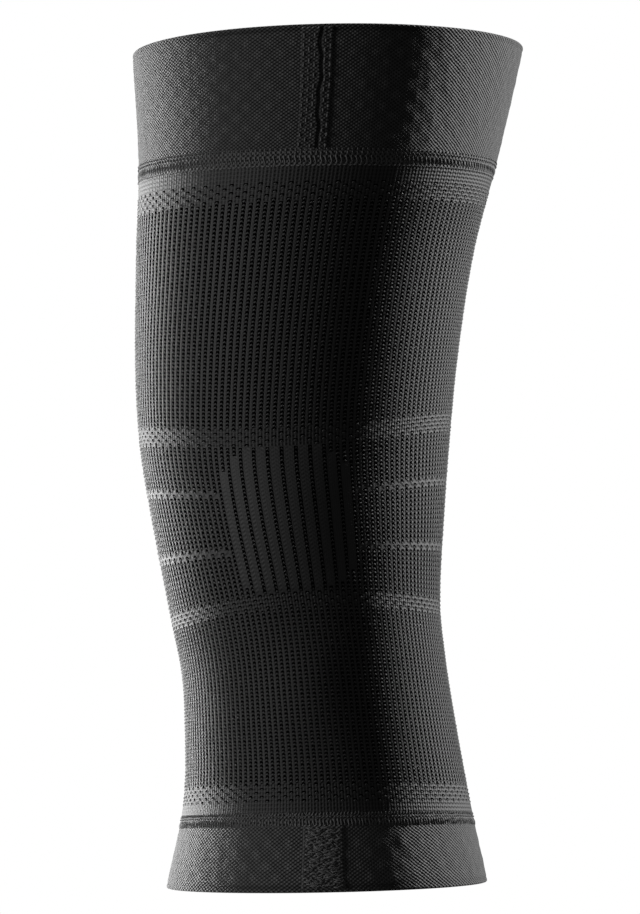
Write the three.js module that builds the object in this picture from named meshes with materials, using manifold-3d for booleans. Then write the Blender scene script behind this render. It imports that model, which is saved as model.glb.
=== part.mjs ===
// Knee sleeve: a knitted tube with a ribbed kneecap panel and an elastic band at each end.
// Millimetres, +Z up, front towards -Y, +X to the right of someone who looks at the front.
// The origin lies in the middle of the bore, level with the middle of the kneecap panel.
// The sleeve has its worn shape: every piece is drawn flat, as height, turn and distance out
// from the inside face, and then bent round the worn bore.

import * as THREE from "three";
import { mergeVertices } from "three/addons/utils/BufferGeometryUtils.js";
import Module from "manifold-3d";

const wasm = await Module();
wasm.setup();

// Bore, as worn
const upperLength = 162; // kneecap to thigh hem
const lowerLength = 127; // kneecap to calf hem
const thighWidth = 132.6;
const thighDepth = 142.8;
const kneeWidth = 98.2;
const kneeDepth = 113.4;
const shinWidth = 88.6; // where the sleeve is narrowest
const shinDepth = 104.4;
const calfWidth = 108;
const calfDepth = 112.8;
const thighLean = 10.5; // how far the thigh hem lies to the side of the kneecap
const thighSetBack = 7;
const calfLean = 10;
const calfSetBack = 9.5;

// Cloth
const knitWall = 1.8;
const bandWall = 1.6;
const seatWall = 1.2; // both cloths are pressed thin under a joining seam
const gap = 0.3; // between pieces that meet

// Bands and seams
const thighBandHeight = 42.9;
const calfBandHeight = 22.1;
const thighSeamHeight = 5.6;
const calfSeamHeight = 4.4;
const seamThickness = 0.9;
const thighClosureWidth = 10.4;
const calfClosureWidth = 14.6;
const closureThickness = 0.6;
const grooveWidth = 1.2; // where the two ends of the thigh band meet
const grooveDepth = 0.35;
const grooveAside = 1.6; // right of the middle of the closure

// Kneecap panel, in knitted stitches
const wales = 144; // columns of stitches round the sleeve
const courses = 170; // rows of stitches from seam to seam
const ribWales = 2; // columns that one rib covers, with the open column beside it
const ribFill = 0.7; // share of those columns that stands up
const ribRise = 0.6;
const ribSunk = 0.8; // how far a rib's base reaches into the wall

// Fineness
const columns = 64;
const rowStep = 9.5;
const innerRowStep = 16;
const ribRowStep = 8;
const closureTurnStep = 5; // degrees
const hemArcSteps = 3;

// Colours
const knitColour = 0x17171a;
const bandColour = 0x1b1b1d;
const threadColour = 0x242427;

// Sections of the bore from calf to thigh. Roll lifts the right side and pitch the front,
// turn swings the front to the right, all in degrees. Flank is how far the knitted rows lie
// higher at both sides than in front.
const sections = [
  { height: -1.0 * lowerLength, width: 1.0 * calfWidth, depth: 1.0 * calfDepth,
    side: 1.0 * calfLean, back: 1.0 * calfSetBack,
    roll: 1.1, pitch: -1.8, turn: 0.9, flank: 0 },
  { height: -0.77 * lowerLength, width: 0.885 * calfWidth, depth: 0.96 * calfDepth,
    side: 0.99 * calfLean, back: 0.95 * calfSetBack,
    roll: 0.9, pitch: 1.4, turn: 0.9, flank: 0 },
  { height: -0.55 * lowerLength, width: 1.014 * shinWidth, depth: 1.01 * shinDepth,
    side: 0.77 * calfLean, back: 0.63 * calfSetBack,
    roll: 1.9, pitch: 0.3, turn: 1.0, flank: -0.009 * kneeDepth },
  { height: -0.386 * lowerLength, width: 0.99 * shinWidth, depth: 1.0 * shinDepth,
    side: 0.57 * calfLean, back: 0.32 * calfSetBack,
    roll: 3.0, pitch: 0, turn: 1.1, flank: -0.024 * kneeDepth },
  { height: -0.226 * lowerLength, width: 1.009 * shinWidth, depth: 1.02 * shinDepth,
    side: 0.3 * calfLean, back: 0.1 * calfSetBack,
    roll: 3.6, pitch: 0, turn: 1.0, flank: -0.037 * kneeDepth },
  { height: 0, width: 1.0 * kneeWidth, depth: 1.0 * kneeDepth,
    side: 0.03 * calfLean, back: 0,
    roll: 2.6, pitch: 0, turn: -1.0, flank: 0.027 * kneeDepth },
  { height: 0.124 * upperLength, width: 1.053 * kneeWidth, depth: 1.026 * kneeDepth,
    side: -0.06 * thighLean, back: 0.07 * thighSetBack,
    roll: 2.9, pitch: 0, turn: -2.3, flank: 0.043 * kneeDepth },
  { height: 0.293 * upperLength, width: 1.097 * kneeWidth, depth: 1.07 * kneeDepth,
    side: -0.03 * thighLean, back: 0.29 * thighSetBack,
    roll: 2.9, pitch: 0, turn: -1.5, flank: 0.031 * kneeDepth },
  { height: 0.55 * upperLength, width: 0.858 * thighWidth, depth: 0.9 * thighDepth,
    side: 0.255 * thighLean, back: 0.64 * thighSetBack,
    roll: 2.9, pitch: 0, turn: 0, flank: 0.009 * kneeDepth },
  { height: 0.765 * upperLength, width: 0.916 * thighWidth, depth: 0.943 * thighDepth,
    side: 0.68 * thighLean, back: 0.86 * thighSetBack,
    roll: 0.6, pitch: 0.2, turn: 0.3, flank: 0.002 * kneeDepth },
  { height: 1.0 * upperLength, width: 1.0 * thighWidth, depth: 1.0 * thighDepth,
    side: 1.0 * thighLean, back: 1.0 * thighSetBack,
    roll: 1.2, pitch: 1.6, turn: -0.8, flank: 0 },
];

// Swellings and hollows of the worn cloth: the place of each, its half height, its half
// breadth in degrees, and how far it rises.
const swellings = [
  { name: "kneecap", height: 0.01 * upperLength, turn: 0,
    tall: 0.16 * upperLength, broad: 27, rise: 0.023 * kneeDepth },
  { name: "below the kneecap", height: -0.3 * lowerLength, turn: 0,
    tall: 0.095 * lowerLength, broad: 18, rise: -0.008 * kneeDepth },
  { name: "shin head", height: -0.46 * lowerLength, turn: 0,
    tall: 0.1 * lowerLength, broad: 15, rise: 0.014 * kneeDepth },
  { name: "hollow of the knee", height: 0.02 * upperLength, turn: 180,
    tall: 0.19 * upperLength, broad: 26, rise: -0.03 * kneeDepth },
  { name: "left hamstring", height: 0.2 * upperLength, turn: -140,
    tall: 0.2 * upperLength, broad: 15, rise: 0.014 * kneeDepth },
  { name: "right hamstring", height: 0.2 * upperLength, turn: 140,
    tall: 0.2 * upperLength, broad: 15, rise: 0.014 * kneeDepth },
  { name: "left calf", height: -0.8 * lowerLength, turn: -150,
    tall: 0.24 * lowerLength, broad: 28, rise: 0.013 * calfDepth },
  { name: "right calf", height: -0.75 * lowerLength, turn: 150,
    tall: 0.22 * lowerLength, broad: 26, rise: 0.016 * calfDepth },
];

// Ribs of the kneecap panel from left to right: the rows of stitches, counted down from the
// thigh seam, where each one starts and ends.
const panelRibs = [
  { start: 80, end: 109 },
  { start: 76, end: 111 },
  { start: 74, end: 111 },
  { start: 74, end: 111 },
  { start: 73, end: 111 },
  { start: 73, end: 111 },
  { start: 73, end: 111 },
  { start: 74, end: 110 },
  { start: 76, end: 109 },
  { start: 79, end: 106 },
];

const thighJoin = upperLength - thighBandHeight;
const calfJoin = calfBandHeight - lowerLength;
const courseHeight = (thighJoin - calfJoin) / courses;
const columnTurn = 360 / wales;

const sectionKeys = ["width", "depth", "side", "back", "roll", "pitch", "turn", "flank"];
const sectionSpline = new THREE.CubicInterpolant(
  sections.map((s) => s.height),
  sections.flatMap((s) => sectionKeys.map((key) => s[key])),
  sectionKeys.length,
);

function sectionAt(height) {
  const values = sectionSpline.evaluate(height);
  return Object.fromEntries(sectionKeys.map((key, i) => [key, values[i]]));
}

// Height of all swellings together at a place, each one a smooth hill
function swellingAt(height, turn) {
  let total = 0;
  for (const s of swellings) {
    const across = (THREE.MathUtils.euclideanModulo(turn - s.turn + 180, 360) - 180) / s.broad;
    const along = (height - s.height) / s.tall;
    total += s.rise * Math.exp(-across * across - along * along);
  }
  return total;
}

// A place on the worn sleeve: height in mm, turn in degrees from the front towards +X, and
// the distance out from the inside face.
function wornPoint(height, turn, out) {
  const s = sectionAt(height);
  const angle = THREE.MathUtils.degToRad(turn + s.turn);
  const beyond = out + swellingAt(height, turn);
  const x = (s.width / 2 + beyond) * Math.sin(angle);
  const y = -(s.depth / 2 + beyond) * Math.cos(angle);
  const tilt =
    x * Math.tan(THREE.MathUtils.degToRad(s.roll)) -
    y * Math.tan(THREE.MathUtils.degToRad(s.pitch));
  const flank = s.flank * Math.sin(angle) ** 2;
  return new THREE.Vector3(s.side + x, s.back + y, height + tilt + flank);
}

// Bends a flat geometry round the bore: flatPlace turns a vertex into { height, turn, out }
function wear(geometry, flatPlace) {
  geometry.deleteAttribute("normal");
  geometry.deleteAttribute("uv");
  const position = geometry.attributes.position;
  const vertex = new THREE.Vector3();
  for (let i = 0; i < position.count; i += 1) {
    vertex.fromBufferAttribute(position, i);
    const { height, turn, out } = flatPlace(vertex);
    position.setXYZ(i, ...wornPoint(height, turn, out));
  }
  return mergeVertices(geometry, 1e-3);
}

// A ring worn round the bore. Its closed profile is a list of [out, height], anticlockwise.
function wornRing(profile) {
  const plainRadius = (kneeWidth + kneeDepth) / 4;
  const points = [...profile, profile[0]].map(
    ([out, height]) => new THREE.Vector2(plainRadius + out, height),
  );
  return wear(new THREE.LatheGeometry(points, columns), (v) => ({
    height: v.y,
    turn: THREE.MathUtils.radToDeg(Math.atan2(v.x, v.z)),
    out: Math.hypot(v.x, v.z) - plainRadius,
  }));
}

// A patch worn on the bore, given by the ranges it covers
function wornPatch({ turn, height, out, turnSteps, rows, narrowing = 0 }) {
  const width = turn[1] - turn[0];
  const tall = height[1] - height[0];
  const thick = out[1] - out[0];
  const box = new THREE.BoxGeometry(width, tall, thick, turnSteps, rows, 1);
  box.translate((turn[0] + turn[1]) / 2, (height[0] + height[1]) / 2, (out[0] + out[1]) / 2);
  const middle = (turn[0] + turn[1]) / 2;
  return wear(box, (v) => {
    const onTop = (v.z - out[0]) / thick;
    return { height: v.y, turn: middle + (v.x - middle) * (1 - narrowing * onTop), out: v.z };
  });
}

// Heights from one to another in equal steps, both ends included
function stepsBetween(from, to, step) {
  const count = Math.max(1, Math.round(Math.abs(to - from) / step));
  return Array.from({ length: count + 1 }, (_, i) => from + ((to - from) * i) / count);
}

function solidOf(geometry) {
  return new wasm.Manifold(
    new wasm.Mesh({
      numProp: 3,
      vertProperties: new Float32Array(geometry.attributes.position.array),
      triVerts: new Uint32Array(geometry.index.array),
    }),
  );
}

function geometryOf(solid) {
  const mesh = solid.getMesh();
  return new THREE.BufferGeometry()
    .setAttribute("position", new THREE.BufferAttribute(mesh.vertProperties, 3))
    .setIndex(new THREE.BufferAttribute(mesh.triVerts, 1));
}

// How far the cloth has turned at the front for a width measured along it
function turnOf(width, height) {
  const s = sectionAt(height);
  return THREE.MathUtils.radToDeg(width / (s.width / 2 + bandWall));
}

function makeKnitBody() {
  const top = thighJoin - gap / 2;
  const bottom = calfJoin + gap / 2;
  const topSeat = thighJoin - thighSeamHeight / 2 - gap;
  const bottomSeat = calfJoin + calfSeamHeight / 2 + gap;
  const tube = solidOf(
    wornRing([
      [seatWall, bottom],
      [seatWall, bottomSeat],
      ...stepsBetween(bottomSeat, topSeat, rowStep).map((height) => [knitWall, height]),
      [seatWall, topSeat],
      [seatWall, top],
      ...stepsBetween(top, bottom, innerRowStep).map((height) => [0, height]),
    ]),
  );
  const ribTurn = ribWales * columnTurn;
  const ribs = panelRibs.map(({ start, end }, i) => {
    const middle = (i + 0.5 - panelRibs.length / 2) * ribTurn;
    const half = (ribFill * ribTurn) / 2;
    const ends = [thighJoin - end * courseHeight, thighJoin - start * courseHeight];
    return solidOf(
      wornPatch({
        turn: [middle - half, middle + half],
        height: ends,
        out: [knitWall - ribSunk, knitWall + ribRise],
        turnSteps: 2,
        rows: Math.round((ends[1] - ends[0]) / ribRowStep),
        narrowing: 0.25,
      }),
    );
  });
  return geometryOf(ribs.reduce((body, rib) => body.add(rib), tube));
}

// An elastic band from its joining seam to its rounded hem. Up is 1 for the thigh band, whose
// hem is above its seam, and -1 for the calf band.
function makeBand(join, hem, seamHeight, up) {
  const edge = join + (up * gap) / 2;
  const seat = join + up * (seamHeight / 2 + gap);
  const hemRadius = bandWall / 2;
  const shoulder = hem - up * hemRadius;
  const hemArc = Array.from({ length: hemArcSteps + 1 }, (_, i) => {
    const angle = (Math.PI * i) / hemArcSteps;
    return [hemRadius + hemRadius * Math.cos(angle), shoulder + up * hemRadius * Math.sin(angle)];
  });
  const profile = [
    [seatWall, edge],
    [seatWall, seat],
    ...stepsBetween(seat, shoulder, rowStep).slice(0, -1).map((height) => [bandWall, height]),
    ...hemArc,
    ...stepsBetween(shoulder, edge, innerRowStep).slice(1).map((height) => [0, height]),
  ];
  return wornRing(up > 0 ? profile : profile.reverse());
}

// The raised ring of covering stitches over a join
function makeJoinSeam(join, height) {
  const base = seatWall + gap;
  const half = height / 2;
  return wornRing([
    [base, join - half],
    [base + 0.6 * seamThickness, join - half],
    [base + seamThickness, join - 0.6 * half],
    [base + seamThickness, join + 0.6 * half],
    [base + 0.6 * seamThickness, join + half],
    [base, join + half],
  ]);
}

// The stitched closure down the front of a band, from the joining seam to the hem
function makeClosure(seamEdge, hem, width) {
  const ends = [Math.min(seamEdge, hem), Math.max(seamEdge, hem)];
  const half = turnOf(width, (seamEdge + hem) / 2) / 2;
  const base = bandWall + gap;
  return solidOf(
    wornPatch({
      turn: [-half, half],
      height: ends,
      out: [base, base + closureThickness],
      turnSteps: Math.max(2, Math.round((2 * half) / closureTurnStep)),
      rows: Math.max(1, Math.round((ends[1] - ends[0]) / rowStep)),
      narrowing: 0.06,
    }),
  );
}

function makeThighClosure() {
  const low = thighJoin + thighSeamHeight / 2 + 2 * gap;
  const high = upperLength - bandWall / 2;
  const strip = makeClosure(low, high, thighClosureWidth);
  const top = bandWall + gap + closureThickness;
  const middle = turnOf(grooveAside, (low + high) / 2);
  const half = turnOf(grooveWidth, (low + high) / 2) / 2;
  const groove = solidOf(
    wornPatch({
      turn: [middle - half, middle + half],
      height: [low - gap, upperLength],
      out: [top - grooveDepth, top + gap],
      turnSteps: 1,
      rows: Math.round((high - low) / rowStep),
      narrowing: -0.5,
    }),
  );
  return geometryOf(strip.subtract(groove));
}

function makeCalfClosure() {
  const high = calfJoin - calfSeamHeight / 2 - 2 * gap;
  const low = bandWall / 2 - lowerLength;
  return geometryOf(makeClosure(high, low, calfClosureWidth));
}

const knit = new THREE.MeshStandardMaterial({ color: knitColour, roughness: 0.85, metalness: 0 });
const elastic = new THREE.MeshStandardMaterial({ color: bandColour, roughness: 0.8, metalness: 0 });
const thread = new THREE.MeshStandardMaterial({ color: threadColour, roughness: 0.7, metalness: 0 });

const sleeve = new THREE.Group();

function add(name, geometry, material) {
  const mesh = new THREE.Mesh(geometry, material);
  mesh.name = name;
  sleeve.add(mesh);
}

add("knit_body", makeKnitBody(), knit);
add("thigh_band", makeBand(thighJoin, upperLength, thighSeamHeight, 1), elastic);
add("calf_band", makeBand(calfJoin, -lowerLength, calfSeamHeight, -1), elastic);
add("thigh_join_seam", makeJoinSeam(thighJoin, thighSeamHeight), thread);
add("calf_join_seam", makeJoinSeam(calfJoin, calfSeamHeight), thread);
add("thigh_closure_seam", makeThighClosure(), thread);
add("calf_closure_seam", makeCalfClosure(), thread);

export default sleeve;
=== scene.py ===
# Knee sleeve, dressed: eyelet knit, ribbed kneecap panel, elastic bands, seams and stitching.
# Everything is drawn flat, as a place in the cloth, and then bent round the worn bore.
import math

import bpy
import numpy as np
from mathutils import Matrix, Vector


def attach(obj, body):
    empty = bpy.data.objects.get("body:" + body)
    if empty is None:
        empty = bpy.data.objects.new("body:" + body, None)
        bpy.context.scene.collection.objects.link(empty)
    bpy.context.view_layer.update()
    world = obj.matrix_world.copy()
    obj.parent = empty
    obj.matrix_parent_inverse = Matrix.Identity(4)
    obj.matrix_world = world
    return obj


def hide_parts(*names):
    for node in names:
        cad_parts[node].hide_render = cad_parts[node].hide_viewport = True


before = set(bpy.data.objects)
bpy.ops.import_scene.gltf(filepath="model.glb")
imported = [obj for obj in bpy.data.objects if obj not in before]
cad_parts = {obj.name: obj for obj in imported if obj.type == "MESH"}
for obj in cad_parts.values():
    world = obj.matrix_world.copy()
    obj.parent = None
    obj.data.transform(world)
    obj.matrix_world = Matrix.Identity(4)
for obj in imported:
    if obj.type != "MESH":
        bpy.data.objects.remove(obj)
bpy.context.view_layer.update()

mm = 0.001

# ---- the worn bore, in millimetres, as the solids have it
bore = {
    "upperLength": 162, "lowerLength": 127,
    "thighWidth": 132.6, "thighDepth": 142.8,
    "kneeWidth": 98.2, "kneeDepth": 113.4,
    "shinWidth": 88.6, "shinDepth": 104.4,
    "calfWidth": 108, "calfDepth": 112.8,
    "thighLean": 10.5, "thighSetBack": 7,
    "calfLean": 10, "calfSetBack": 9.5,
    "thighBandHeight": 42.9, "calfBandHeight": 22.1,
    "thighSeamHeight": 5.6, "calfSeamHeight": 4.4,
    "knitWall": 1.8, "bandWall": 1.6, "seatWall": 1.2,
}

upper, lower = bore["upperLength"], bore["lowerLength"]
thighW, thighD = bore["thighWidth"], bore["thighDepth"]
kneeW, kneeD = bore["kneeWidth"], bore["kneeDepth"]
shinW, shinD = bore["shinWidth"], bore["shinDepth"]
calfW, calfD = bore["calfWidth"], bore["calfDepth"]
thighX, thighY = bore["thighLean"], bore["thighSetBack"]
calfX, calfY = bore["calfLean"], bore["calfSetBack"]

# height, width, depth, side, back, roll, pitch, turn, flank
sections = np.array([
    (-1.0 * lower, 1.0 * calfW, 1.0 * calfD, 1.0 * calfX, 1.0 * calfY, 1.1, -1.8, 0.9, 0),
    (-0.77 * lower, 0.885 * calfW, 0.96 * calfD, 0.99 * calfX, 0.95 * calfY, 0.9, 1.4, 0.9, 0),
    (-0.55 * lower, 1.014 * shinW, 1.01 * shinD, 0.77 * calfX, 0.63 * calfY,
     1.9, 0.3, 1.0, -0.009 * kneeD),
    (-0.386 * lower, 0.99 * shinW, 1.0 * shinD, 0.57 * calfX, 0.32 * calfY,
     3.0, 0, 1.1, -0.024 * kneeD),
    (-0.226 * lower, 1.009 * shinW, 1.02 * shinD, 0.3 * calfX, 0.1 * calfY,
     3.6, 0, 1.0, -0.037 * kneeD),
    (0, 1.0 * kneeW, 1.0 * kneeD, 0.03 * calfX, 0, 2.6, 0, -1.0, 0.027 * kneeD),
    (0.124 * upper, 1.053 * kneeW, 1.026 * kneeD, -0.06 * thighX, 0.07 * thighY,
     2.9, 0, -2.3, 0.043 * kneeD),
    (0.293 * upper, 1.097 * kneeW, 1.07 * kneeD, -0.03 * thighX, 0.29 * thighY,
     2.9, 0, -1.5, 0.031 * kneeD),
    (0.55 * upper, 0.858 * thighW, 0.9 * thighD, 0.255 * thighX, 0.64 * thighY,
     2.9, 0, 0, 0.009 * kneeD),
    (0.765 * upper, 0.916 * thighW, 0.943 * thighD, 0.68 * thighX, 0.86 * thighY,
     0.6, 0.2, 0.3, 0.002 * kneeD),
    (1.0 * upper, 1.0 * thighW, 1.0 * thighD, 1.0 * thighX, 1.0 * thighY, 1.2, 1.6, -0.8, 0),
])

# height, turn, half height, half breadth in degrees, rise
swellings = [
    (0.01 * upper, 0, 0.16 * upper, 27, 0.023 * kneeD),  # kneecap
    (-0.3 * lower, 0, 0.095 * lower, 18, -0.008 * kneeD),  # below the kneecap
    (-0.46 * lower, 0, 0.1 * lower, 15, 0.014 * kneeD),  # shin head
    (0.02 * upper, 180, 0.19 * upper, 26, -0.03 * kneeD),  # hollow of the knee
    (0.2 * upper, -140, 0.2 * upper, 15, 0.014 * kneeD),  # hamstrings
    (0.2 * upper, 140, 0.2 * upper, 15, 0.014 * kneeD),
    (-0.8 * lower, -150, 0.24 * lower, 28, 0.013 * calfD),  # calf muscle
    (-0.75 * lower, 150, 0.22 * lower, 26, 0.016 * calfD),
]
knots, shapes = sections[:, 0], sections[:, 1:]


# the same smooth curve through the sections as the solids follow
def sectionAt(height):
    height = np.clip(height, knots[0], knots[-1])
    end = len(knots) - 1
    after = np.clip(np.searchsorted(knots, height, side="right"), 1, end)
    before = after - 1
    lastOne = np.where(before == 0, after, before - 1)
    nextOne = np.where(after == end, before, np.minimum(after + 1, end))
    t0, t1 = knots[before], knots[after]
    p = (height - t0) / (t1 - t0)
    a = (t1 - t0) / 2 / (t0 - knots[lastOne])
    b = (t1 - t0) / 2 / (knots[nextOne] - t1)
    shares = (
        (-a * p**3 + 2 * a * p**2 - a * p, lastOne),
        ((1 + a) * p**3 - (1.5 + 2 * a) * p**2 + (a - 0.5) * p + 1, before),
        (-(1 + b) * p**3 + (1.5 + b) * p**2 + 0.5 * p, after),
        (b * p**3 - b * p**2, nextOne),
    )
    return sum(share[..., None] * shapes[which] for share, which in shares)


# a place on the worn sleeve, in metres: height in mm, turn in degrees from the front
# towards +X, and the distance out from the inside face in mm
def wornPoint(height, turn, out):
    height, turn, out = np.broadcast_arrays(
        *(np.asarray(a, dtype=float) for a in (height, turn, out)))
    width, depth, side, back, roll, pitch, swing, flank = np.moveaxis(sectionAt(height), -1, 0)
    angle = np.radians(turn + swing)
    beyond = out.copy()
    for hillHeight, hillTurn, tall, broad, rise in swellings:
        across = ((turn - hillTurn + 180) % 360 - 180) / broad
        along = (height - hillHeight) / tall
        beyond += rise * np.exp(-across**2 - along**2)
    x = (width / 2 + beyond) * np.sin(angle)
    y = -(depth / 2 + beyond) * np.cos(angle)
    tilt = x * np.tan(np.radians(roll)) - y * np.tan(np.radians(pitch))
    z = height + tilt + flank * np.sin(angle) ** 2
    return np.stack([side + x, back + y, z], axis=-1) * mm


thighJoin = upper - bore["thighBandHeight"]
calfJoin = bore["calfBandHeight"] - lower


# ---- making pieces
def deselectAll():
    if bpy.context.object and bpy.context.object.mode != "OBJECT":
        bpy.ops.object.mode_set(mode="OBJECT")
    bpy.ops.object.select_all(action="DESELECT")


def smooth(piece):
    piece.data.polygons.foreach_set("use_smooth", np.ones(len(piece.data.polygons), dtype=bool))


def placesOf(mesh):
    places = np.empty(len(mesh.vertices) * 3)
    mesh.vertices.foreach_get("co", places)
    return places.reshape(-1, 3)


def cornersOf(mesh):
    corners = np.empty(len(mesh.loops), dtype=np.int32)
    mesh.loops.foreach_get("vertex_index", corners)
    return corners


# each point's place in the cloth, which the pattern of its material follows
def layPattern(mesh, around, along):
    mesh.uv_layers[0].name = "stitches"
    pattern = np.stack([around, along], axis=-1)[cornersOf(mesh)]
    mesh.uv_layers[0].data.foreach_set("uv", pattern.ravel())


def addMark(mesh, name, values):
    attribute = mesh.attributes.new(name, "FLOAT", "POINT")
    attribute.data.foreach_set("value", values)


def closeAndSmooth(piece):
    deselectAll()
    piece.select_set(True)
    bpy.context.view_layer.objects.active = piece
    bpy.ops.object.mode_set(mode="EDIT")
    bpy.ops.mesh.select_all(action="SELECT")
    bpy.ops.mesh.remove_doubles(threshold=1e-6)
    bpy.ops.mesh.normals_make_consistent(inside=False)
    bpy.ops.object.mode_set(mode="OBJECT")
    smooth(piece)


# A flat grid bent round the bore and closed on itself both ways, so that it is a wall with
# an inside and an outside. turns has a column each, height and out a row for each step
# round the wall's section. stitch gives each row's place in the cloth, for the pattern, and
# marks holds further values for the materials, the shape of out. Edges past crease stay crisp.
def wrapCloth(name, turns, height, out, stitch, marks={}, crease=180):
    rows, columns = out.shape
    deselectAll()
    bpy.ops.mesh.primitive_grid_add(x_subdivisions=columns, y_subdivisions=rows, size=1)
    piece = bpy.context.object
    piece.name = piece.data.name = name
    mesh = piece.data
    flat = placesOf(mesh)
    column = np.rint((flat[:, 0] + 0.5) * columns).astype(int)
    row = np.rint((flat[:, 1] + 0.5) * rows).astype(int)
    r, c = row % rows, column % columns
    places = wornPoint(np.broadcast_to(height, out.shape)[r, c], turns[c], out[r, c])
    mesh.vertices.foreach_set("co", places.ravel())
    around = np.append(turns, turns[0] + 360)[column] / 360 + 0.5
    along = np.append(stitch, stitch[-1])[row]
    layPattern(mesh, around, along)
    for mark, values in marks.items():
        addMark(mesh, mark, values[r, c])
    closeAndSmooth(piece)
    if crease < 180:
        bpy.ops.object.shade_smooth_by_angle(angle=math.radians(crease))
    return piece


# One short length of yarn, made once: its corners as (ring, angle) and its faces
def yarnLength(sides, rings):
    deselectAll()
    bpy.ops.mesh.primitive_cylinder_add(
        vertices=sides, radius=1, depth=rings - 1, end_fill_type="NGON")
    tube = bpy.context.object
    bpy.ops.object.mode_set(mode="EDIT")
    for ring in range(1, rings - 1):
        bpy.ops.mesh.select_all(action="SELECT")
        bpy.ops.mesh.bisect(plane_co=(0, 0, ring - (rings - 1) / 2), plane_no=(0, 0, 1))
    bpy.ops.object.mode_set(mode="OBJECT")
    corners = [(v.co.z + (rings - 1) / 2, math.atan2(v.co.y, v.co.x)) for v in tube.data.vertices]
    faces = [list(p.vertices) for p in tube.data.polygons]
    made = tube.data
    bpy.data.objects.remove(tube)
    bpy.data.meshes.remove(made)
    return corners, faces


# Copies of that length laid along many paths on the sleeve. paths is (copies, rings, 3),
# each point a height, a turn and a distance out. thick and high are half sizes in mm, and
# taper is a share of them for each ring. A three-sided yarn has its edge outwards, and its
# flat side where high is below 0.
def layYarn(name, paths, thick, high, sides=3, taper=None):
    count, rings = paths.shape[:2]
    corners, faces = yarnLength(sides, rings)
    middle = wornPoint(paths[..., 0], paths[..., 1], paths[..., 2])
    above = wornPoint(paths[..., 0], paths[..., 1], paths[..., 2] + 1)
    outward = above - middle
    outward /= np.linalg.norm(outward, axis=-1, keepdims=True)
    along = np.gradient(middle, axis=1)
    along /= np.linalg.norm(along, axis=-1, keepdims=True)
    across = np.cross(outward, along)
    across /= np.linalg.norm(across, axis=-1, keepdims=True)
    ring = np.rint([c[0] for c in corners]).astype(int)
    angle = np.array([c[1] for c in corners])
    share = (np.ones(rings) if taper is None else np.array(taper))[ring][None, :, None] * mm
    thick = np.broadcast_to(np.asarray(thick, dtype=float), (count,))[:, None, None] * share
    high = np.broadcast_to(np.asarray(high, dtype=float), (count,))[:, None, None] * share
    placed = (
        middle[:, ring]
        + across[:, ring] * np.cos(angle)[None, :, None] * thick
        + outward[:, ring] * np.sin(angle)[None, :, None] * high
    )
    first = placed[0]
    volume = sum(
        np.dot(first[f[0]], np.cross(first[f[i]], first[f[i + 1]]))
        for f in faces for i in range(1, len(f) - 1)
    )
    if volume < 0:
        faces = [f[::-1] for f in faces]
    size = len(corners)
    flatFaces = np.concatenate(faces)
    starts = np.cumsum([0] + [len(f) for f in faces[:-1]])
    totals = np.array([len(f) for f in faces])
    copies = np.arange(count)[:, None]
    mesh = bpy.data.meshes.new(name)
    mesh.vertices.add(count * size)
    mesh.vertices.foreach_set("co", placed.ravel())
    mesh.loops.add(count * len(flatFaces))
    mesh.loops.foreach_set("vertex_index", (flatFaces[None] + size * copies).ravel())
    mesh.polygons.add(count * len(faces))
    mesh.polygons.foreach_set("loop_start", (starts[None] + len(flatFaces) * copies).ravel())
    mesh.polygons.foreach_set("loop_total", np.tile(totals, count))
    mesh.update(calc_edges=True)
    mesh.validate()
    piece = bpy.data.objects.new(name, mesh)
    bpy.context.collection.objects.link(piece)
    smooth(piece)
    return piece


def finishPiece(piece, material, slot, *nodes):
    piece.data.materials.clear()
    piece.data.materials.append(material)
    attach(piece, "root")
    if nodes:
        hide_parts(*nodes)
    print(piece.name, len(piece.data.polygons), "faces")


# ---- finishes
def newMaterial(name, settings):
    material = bpy.data.materials.new(name)
    material.use_nodes = True
    tree = material.node_tree
    shader = tree.nodes["Principled BSDF"]
    for socket, value in settings.items():
        shader.inputs[socket].default_value = value
    return material, tree, shader


def addNode(tree, kind, settings=None, **inputs):
    node = tree.nodes.new(kind)
    for key, value in (settings or {}).items():
        setattr(node, key, value)
    for key, value in inputs.items():
        socket = node.inputs[int(key[1:])] if key[0] == "i" and key[1:].isdigit() else node.inputs[key]
        if isinstance(value, bpy.types.NodeSocket):
            tree.links.new(value, socket)
        else:
            socket.default_value = value
    return node


def calc(tree, operation, a, b=0.0, c=0.0):
    return addNode(tree, "ShaderNodeMath", {"operation": operation}, i0=a, i1=b, i2=c).outputs[0]


def mixColours(tree, share, first, second):
    node = addNode(tree, "ShaderNodeMix", {"data_type": "RGBA"})
    for socket, value in ((0, share), (6, first), (7, second)):
        if isinstance(value, bpy.types.NodeSocket):
            tree.links.new(value, node.inputs[socket])
        else:
            node.inputs[socket].default_value = value
    return node.outputs[2]


def mapRange(tree, value, low, high):
    node = addNode(tree, "ShaderNodeMapRange", Value=value)
    node.inputs["From Min"].default_value = low
    node.inputs["From Max"].default_value = high
    return node.outputs[0]


def grey(value):
    return (value, value, value, 1)


yarnLook = {
    "Roughness": 0.68,
    "Specular IOR Level": 0.3,
    "Sheen Weight": 0.1,
    "Sheen Roughness": 0.4,
    "Sheen Tint": (1, 1, 1, 1),
}

knitLook = {
    "dark": grey(0.015),
    "light": grey(0.031),
    # painted shade in the pinholes of the closed stitches
    "dot": grey(0.001),
    "streaks": 0.25,  # of the way from dark to light, along the columns
    "fineAcross": 0.3,  # how strongly the closed stitches show their columns and courses
    "fineDown": 0.2,
    "pinholeFrom": 0.0,
    "pinholeFull": -0.14,
    "patchSize": 90,
    "fibreSize": 2600,
    "stitchBump": 0.00005,
    "dotBump": 0.00016,
    "fibreBump": 0.00005,
    "slant": 0.9,
}

grain = {"patchShare": 0.4, "patchDetail": 3.0, "fibreShare": 0.6, "fibreDetail": 2.0}


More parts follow.
